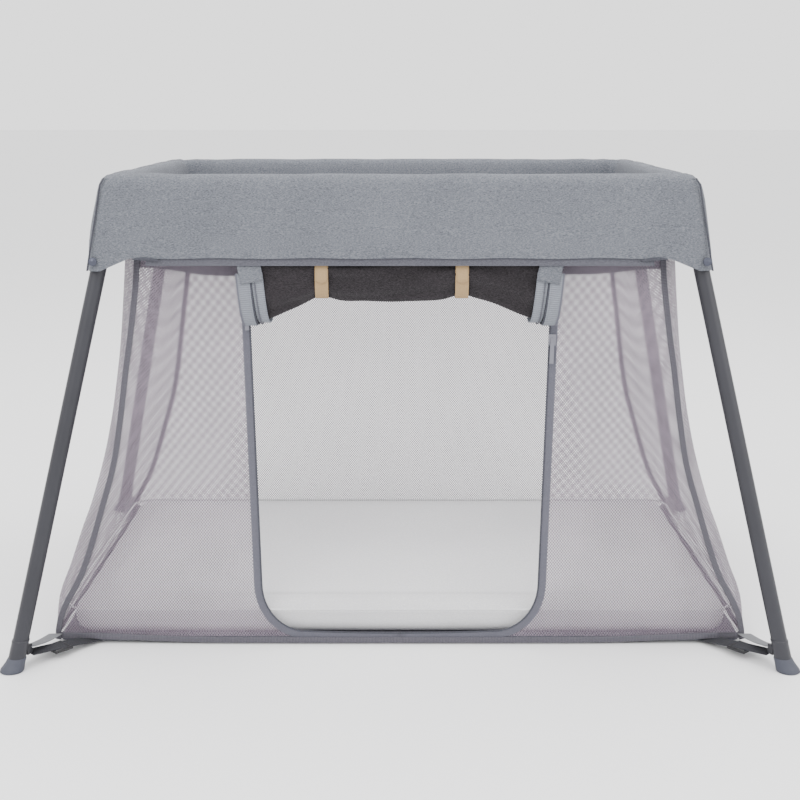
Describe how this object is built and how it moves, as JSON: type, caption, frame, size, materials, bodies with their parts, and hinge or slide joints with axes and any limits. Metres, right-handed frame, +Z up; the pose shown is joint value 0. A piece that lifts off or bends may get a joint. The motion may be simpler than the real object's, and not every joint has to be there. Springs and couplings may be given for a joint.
{
  "type": "folding travel playpen",
  "caption": "Folding travel playpen: padded rail covers on a hinged tube frame, splayed folding legs, bowed mesh walls, a zipped side door and a thin floor mattress.",
  "frame": {"origin": "on the floor, under the middle of the playpen", "axes": "+X along the long sides, +Y from the door side to the rear, +Z up"},
  "size_m": [1.1252, 0.8152, 0.6865],
  "materials": {
    "frame_tube": "satin powder coat",
    "moulding": "moulded nylon",
    "foot_plastic": "soft-touch moulded",
    "steel": "plain",
    "cover_fabric": "heather woven",
    "mesh": "knitted mesh",
    "zip": "coil zip",
    "slider_metal": "enamelled",
    "tie_webbing": "twill tape",
    "strap_webbing": "webbing",
    "buckle_plastic": "moulded",
    "stud_metal": "enamelled",
    "mattress_fabric": "knitted",
    "base_fabric": "woven nylon"
  },
  "bodies": {
    "left_end": {"left_end_rail": "frame_tube", "left_end_pins": "steel", "left_end_cover": "cover_fabric", "left_end_wall": "mesh", "left_flap_studs": "stud_metal", "front_wall_left": "mesh", "foot_straps_left": "strap_webbing", "strap_buckles_left": "buckle_plastic", "hub_front_left": "moulding", "hub_rear_left": "moulding", "rear_wall": "mesh", "zip_tape": "zip", "door_roll": "mesh", "door_ties": "tie_webbing", "base_floor": "base_fabric", "mattress": "mattress_fabric"},
    "right_end": {"right_end_rail": "frame_tube", "right_end_pins": "steel", "right_end_cover": "cover_fabric", "right_end_wall": "mesh", "right_flap_studs": "stud_metal", "front_wall_right": "mesh", "foot_straps_right": "strap_webbing", "strap_buckles_right": "buckle_plastic", "hub_front_right": "moulding", "hub_rear_right": "moulding"},
    "front_left_rail": {"rail_front_left": "frame_tube", "rail_fittings_front_left": "moulding", "rail_cover_front_left": "cover_fabric", "centre_pin_front": "steel"},
    "front_left_leg": {"leg_front_left": "frame_tube", "leg_knuckle_front_left": "moulding", "foot_front_left": "foot_plastic"},
    "front_left_leg_button": {"leg_button_front_left": "foot_plastic"},
    "front_right_rail": {"rail_front_right": "frame_tube", "rail_fittings_front_right": "moulding", "rail_cover_front_right": "cover_fabric"},
    "front_right_leg": {"leg_front_right": "frame_tube", "leg_knuckle_front_right": "moulding", "foot_front_right": "foot_plastic"},
    "front_right_leg_button": {"leg_button_front_right": "foot_plastic"},
    "front_centre_button": {"centre_button_front": "foot_plastic"},
    "rear_left_rail": {"rail_rear_left": "frame_tube", "rail_fittings_rear_left": "moulding", "rail_cover_rear_left": "cover_fabric", "centre_pin_rear": "steel"},
    "rear_left_leg": {"leg_rear_left": "frame_tube", "leg_knuckle_rear_left": "moulding", "foot_rear_left": "foot_plastic"},
    "rear_left_leg_button": {"leg_button_rear_left": "foot_plastic"},
    "rear_right_rail": {"rail_rear_right": "frame_tube", "rail_fittings_rear_right": "moulding", "rail_cover_rear_right": "cover_fabric"},
    "rear_right_leg": {"leg_rear_right": "frame_tube", "leg_knuckle_rear_right": "moulding", "foot_rear_right": "foot_plastic"},
    "rear_right_leg_button": {"leg_button_rear_right": "foot_plastic"},
    "rear_centre_button": {"centre_button_rear": "foot_plastic"},
    "left_zip_slider": {"zip_slider_left": "slider_metal"},
    "right_zip_slider": {"zip_slider_right": "slider_metal"}
  },
  "joints": [
    {"name": "frame_fold", "type": "hinge", "parent": "left_end", "child": "front_left_rail", "pos_m": [-0.37, -0.263, 0.667], "axis": [0, -1, 0], "range_deg": [0, 80], "deforming": ["front_wall_left", "front_wall_right", "rear_wall", "base_floor", "mattress", "zip_tape", "door_roll", "door_ties", "rail_cover_front_left", "rail_cover_front_right", "rail_cover_rear_left", "rail_cover_rear_right", "left_end_cover", "right_end_cover", "left_flap_studs", "right_flap_studs"]},
    {"name": "front_centre_fold", "type": "hinge", "parent": "front_left_rail", "child": "front_right_rail", "pos_m": [0, -0.263, 0.652], "axis": [0, 1, 0], "range_deg": [0, 160]},
    {"name": "right_end_fold", "type": "hinge", "parent": "front_right_rail", "child": "right_end", "pos_m": [0.37, -0.263, 0.667], "axis": [0, -1, 0], "range_deg": [0, 80]},
    {"name": "rear_left_fold", "type": "hinge", "parent": "left_end", "child": "rear_left_rail", "pos_m": [-0.37, 0.263, 0.667], "axis": [0, -1, 0], "range_deg": [0, 80]},
    {"name": "rear_centre_fold", "type": "hinge", "parent": "rear_left_rail", "child": "rear_right_rail", "pos_m": [0, 0.263, 0.652], "axis": [0, 1, 0], "range_deg": [0, 160]},
    {"name": "front_left_leg_fold", "type": "hinge", "parent": "left_end", "child": "front_left_leg", "pos_m": [-0.409, -0.262, 0.626], "axis": [0.9733, 0.0558, -0.2229], "range_deg": [0, 101.2], "deforming": ["foot_straps_left", "strap_buckles_left"]},
    {"name": "front_left_leg_release", "type": "slide", "parent": "left_end", "child": "front_left_leg_button", "axis": [0.9733, 0.0558, -0.2229], "range_m": [0, 0.0035], "stiffness_N_per_m": 300},
    {"name": "front_right_leg_fold", "type": "hinge", "parent": "right_end", "child": "front_right_leg", "pos_m": [0.409, -0.262, 0.626], "axis": [0.9733, -0.0558, 0.2229], "range_deg": [0, 101.2], "deforming": ["foot_straps_right", "strap_buckles_right"]},
    {"name": "front_right_leg_release", "type": "slide", "parent": "right_end", "child": "front_right_leg_button", "axis": [-0.9733, 0.0558, -0.2229], "range_m": [0, 0.0035], "stiffness_N_per_m": 300},
    {"name": "front_centre_release", "type": "slide", "parent": "front_left_rail", "child": "front_centre_button", "axis": [0, 0, 1], "range_m": [0, 0.0035], "stiffness_N_per_m": 300},
    {"name": "rear_left_leg_fold", "type": "hinge", "parent": "left_end", "child": "rear_left_leg", "pos_m": [-0.409, 0.262, 0.626], "axis": [-0.978, -0.0558, 0.2011], "range_deg": [0, 101.2], "deforming": ["left_end_wall"]},
    {"name": "rear_left_leg_release", "type": "slide", "parent": "left_end", "child": "rear_left_leg_button", "axis": [0.978, 0.0558, -0.2011], "range_m": [0, 0.0035], "stiffness_N_per_m": 300},
    {"name": "rear_right_leg_fold", "type": "hinge", "parent": "right_end", "child": "rear_right_leg", "pos_m": [0.409, 0.262, 0.626], "axis": [-0.978, 0.0558, -0.2011], "range_deg": [0, 101.2], "deforming": ["right_end_wall"]},
    {"name": "rear_right_leg_release", "type": "slide", "parent": "right_end", "child": "rear_right_leg_button", "axis": [-0.978, 0.0558, -0.2011], "range_m": [0, 0.0035], "stiffness_N_per_m": 300},
    {"name": "rear_centre_release", "type": "slide", "parent": "rear_left_rail", "child": "rear_centre_button", "axis": [0, 0, 1], "range_m": [0, 0.0035], "stiffness_N_per_m": 300},
    {"name": "left_zip_slide", "type": "slide", "parent": "left_end", "child": "left_zip_slider", "axis": [0.0289, -0.066, -0.9974], "range_m": [0, 0.36]},
    {"name": "right_zip_slide", "type": "slide", "parent": "right_end", "child": "right_zip_slider", "axis": [-0.0289, -0.066, -0.9974], "range_m": [0, 0.31]}
  ],
  "couplings": [
    {"joint": "front_centre_fold", "follows": "frame_fold", "ratio": 2},
    {"joint": "right_end_fold", "follows": "frame_fold", "ratio": 1},
    {"joint": "rear_left_fold", "follows": "frame_fold", "ratio": 1},
    {"joint": "rear_centre_fold", "follows": "frame_fold", "ratio": 2}
  ]
}
